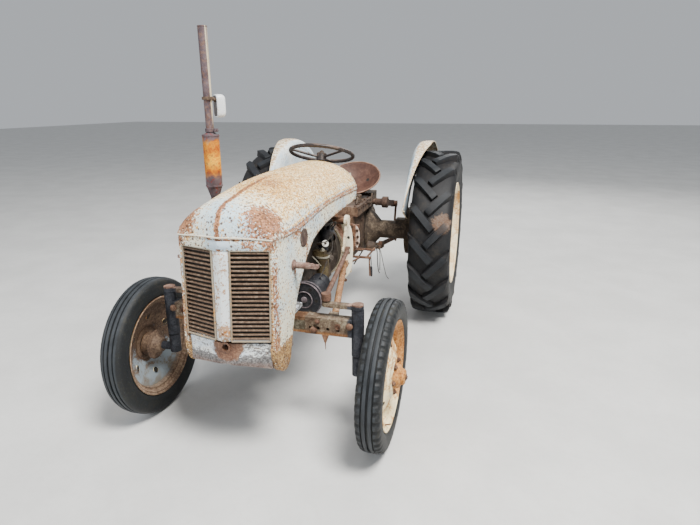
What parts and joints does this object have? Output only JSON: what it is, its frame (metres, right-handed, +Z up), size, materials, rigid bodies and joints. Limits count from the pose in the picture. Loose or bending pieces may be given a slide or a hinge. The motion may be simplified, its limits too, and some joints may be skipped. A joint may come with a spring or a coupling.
{
  "type": "vintage tractor",
  "caption": "Light vintage farm tractor with open seat, hinged bonnet, tall side exhaust, narrow front wheels, large lugged rear wheels and rear lift links.",
  "frame": {"origin": "on the ground, under the middle of the whole machine's box", "axes": "+Z up, +Y towards the rear, +X to the tractor's left side"},
  "size_m": [1.548, 2.9251, 1.868],
  "materials": {
    "bonnet_paint": "matte",
    "grey_paint": "matte",
    "rusty_iron": "matte",
    "dark_iron": "matte",
    "cream_paint": "matte",
    "steel_rod": "matte",
    "black_paint": "satin",
    "stack_steel": "matte",
    "tyre": "matte",
    "rim_paint": "matte",
    "seat_rust": "matte",
    "wheel_rim": "satin",
    "mirror_shell": "satin",
    "filter_paint": "matte",
    "alloy": "matte"
  },
  "bodies": {
    "chassis": {"engine_block": "dark_iron", "cylinder_head": "dark_iron", "radiator": "black_paint", "fan": "rusty_iron", "dynamo": "black_paint", "oil_filter": "filter_paint", "distributor": "alloy", "manifold": "rusty_iron", "exhaust_stack": "stack_steel", "mirror": "mirror_shell", "fuel_tank": "grey_paint", "instrument_panel": "grey_paint", "steering_column": "rusty_iron", "clutch_housing": "cream_paint", "transmission": "rusty_iron", "rear_axle_centre": "dark_iron", "axle_trumpets": "dark_iron", "seat_spring": "rusty_iron", "seat_pan": "seat_rust", "fender_left": "grey_paint", "fender_right": "grey_paint", "front_axle_bracket": "grey_paint", "axle_beam": "rusty_iron", "axle_arms": "rusty_iron", "radius_rods": "steel_rod", "footrest_rods": "steel_rod", "pedals": "steel_rod", "gear_lever": "steel_rod", "drawbar": "rusty_iron", "pto_shaft": "steel_rod", "top_link_bracket": "rusty_iron"},
    "bonnet": {"bonnet_shell": "bonnet_paint", "grilles": "rusty_iron", "lamp_brackets": "steel_rod"},
    "left_spindle": {"spindle_left": "black_paint"},
    "right_spindle": {"spindle_right": "black_paint"},
    "front_wheel_left": {"front_tyre_left": "tyre", "front_rim_left": "rim_paint"},
    "front_wheel_right": {"front_tyre_right": "tyre", "front_rim_right": "rim_paint"},
    "rear_wheel_left": {"rear_tyre_left": "tyre", "rear_rim_left": "rim_paint"},
    "rear_wheel_right": {"rear_tyre_right": "tyre", "rear_rim_right": "rim_paint"},
    "steering_wheel_body": {"steering_wheel": "wheel_rim"},
    "left_drop_arm": {"drop_arm_left": "steel_rod"},
    "right_drop_arm": {"drop_arm_right": "steel_rod"},
    "left_drag_link": {"drag_link_left": "steel_rod"},
    "right_drag_link": {"drag_link_right": "steel_rod"},
    "lift_arm_body": {"lift_arms": "rusty_iron"},
    "left_lift_rod": {"lift_rod_left": "steel_rod"},
    "right_lift_rod": {"lift_rod_right": "steel_rod"},
    "left_lower_link": {"lower_link_left": "steel_rod"},
    "right_lower_link": {"lower_link_right": "steel_rod"}
  },
  "joints": [
    {"name": "bonnet_hinge", "type": "hinge", "parent": "chassis", "child": "bonnet", "pos_m": [0, -1.2994, 0.505], "axis": [1, 0, 0], "range_deg": [0, 60]},
    {"name": "steer_left", "type": "hinge", "parent": "chassis", "child": "left_spindle", "pos_m": [0.479, -1.1034, 0.34886], "axis": [0, 0, 1], "range_deg": [-32, 32]},
    {"name": "steer_right", "type": "hinge", "parent": "chassis", "child": "right_spindle", "pos_m": [-0.479, -1.1034, 0.34886], "axis": [0, 0, 1], "range_deg": [-32, 32]},
    {"name": "front_wheel_left_roll", "type": "hinge", "parent": "left_spindle", "child": "front_wheel_left", "pos_m": [0.602, -1.1034, 0.34886], "axis": [0.9997, 0, -0.0227], "continuous": true},
    {"name": "front_wheel_right_roll", "type": "hinge", "parent": "right_spindle", "child": "front_wheel_right", "pos_m": [-0.602, -1.1034, 0.34886], "axis": [0.9997, 0, 0.0227], "continuous": true},
    {"name": "rear_wheel_left_roll", "type": "hinge", "parent": "chassis", "child": "rear_wheel_left", "pos_m": [0.634, 0.6746, 0.601], "axis": [1, 0, 0], "continuous": true},
    {"name": "rear_wheel_right_roll", "type": "hinge", "parent": "chassis", "child": "rear_wheel_right", "pos_m": [-0.634, 0.6746, 0.601], "axis": [1, 0, 0], "continuous": true},
    {"name": "steering_wheel_turn", "type": "hinge", "parent": "chassis", "child": "steering_wheel_body", "pos_m": [0, -0.1374, 1.24], "axis": [0, 0.3338, 0.9426], "range_deg": [-320, 320]},
    {"name": "drop_arm_left_swing", "type": "hinge", "parent": "chassis", "child": "left_drop_arm", "pos_m": [0.23, -0.3984, 0.892], "axis": [1, 0, 0], "range_deg": [-28.8, 28.8]},
    {"name": "drop_arm_right_swing", "type": "hinge", "parent": "chassis", "child": "right_drop_arm", "pos_m": [-0.23, -0.3984, 0.892], "axis": [1, 0, 0], "range_deg": [-28.8, 28.8]},
    {"name": "drag_link_left_pivot", "type": "hinge", "parent": "left_drop_arm", "child": "left_drag_link", "pos_m": [0.25, -0.4574, 0.736], "axis": [1, 0, 0], "range_deg": [-40, 40]},
    {"name": "drag_link_right_pivot", "type": "hinge", "parent": "right_drop_arm", "child": "right_drag_link", "pos_m": [-0.25, -0.4574, 0.736], "axis": [1, 0, 0], "range_deg": [-40, 40]},
    {"name": "lift_raise", "type": "hinge", "parent": "chassis", "child": "lift_arm_body", "pos_m": [0, 0.5966, 0.824], "axis": [1, 0, 0], "range_deg": [-20, 35]},
    {"name": "lift_rod_left_pivot", "type": "hinge", "parent": "lift_arm_body", "child": "left_lift_rod", "pos_m": [0.258, 0.8566, 0.769], "axis": [1, 0, 0], "range_deg": [-60, 60]},
    {"name": "lift_rod_right_pivot", "type": "hinge", "parent": "lift_arm_body", "child": "right_lift_rod", "pos_m": [-0.258, 0.8566, 0.769], "axis": [1, 0, 0], "range_deg": [-60, 60]},
    {"name": "lower_link_left_pivot", "type": "hinge", "parent": "chassis", "child": "left_lower_link", "pos_m": [0.205, 0.6466, 0.48], "axis": [1, 0, 0], "range_deg": [-20, 36]},
    {"name": "lower_link_right_pivot", "type": "hinge", "parent": "chassis", "child": "right_lower_link", "pos_m": [-0.205, 0.6466, 0.48], "axis": [1, 0, 0], "range_deg": [-20, 36]}
  ],
  "couplings": [
    {"joint": "steer_right", "follows": "steer_left", "ratio": 1},
    {"joint": "steering_wheel_turn", "follows": "steer_left", "ratio": 10},
    {"joint": "drop_arm_left_swing", "follows": "steer_left", "ratio": -0.885},
    {"joint": "drop_arm_right_swing", "follows": "steer_left", "ratio": 0.885},
    {"joint": "drag_link_left_pivot", "follows": "steer_left", "ratio": 0.9627},
    {"joint": "drag_link_right_pivot", "follows": "steer_left", "ratio": -0.9627},
    {"joint": "lift_rod_left_pivot", "follows": "lift_raise", "ratio": -1.1211},
    {"joint": "lift_rod_right_pivot", "follows": "lift_raise", "ratio": -1.1211},
    {"joint": "lower_link_left_pivot", "follows": "lift_raise", "ratio": 0.9252},
    {"joint": "lower_link_right_pivot", "follows": "lift_raise", "ratio": 0.9252}
  ]
}
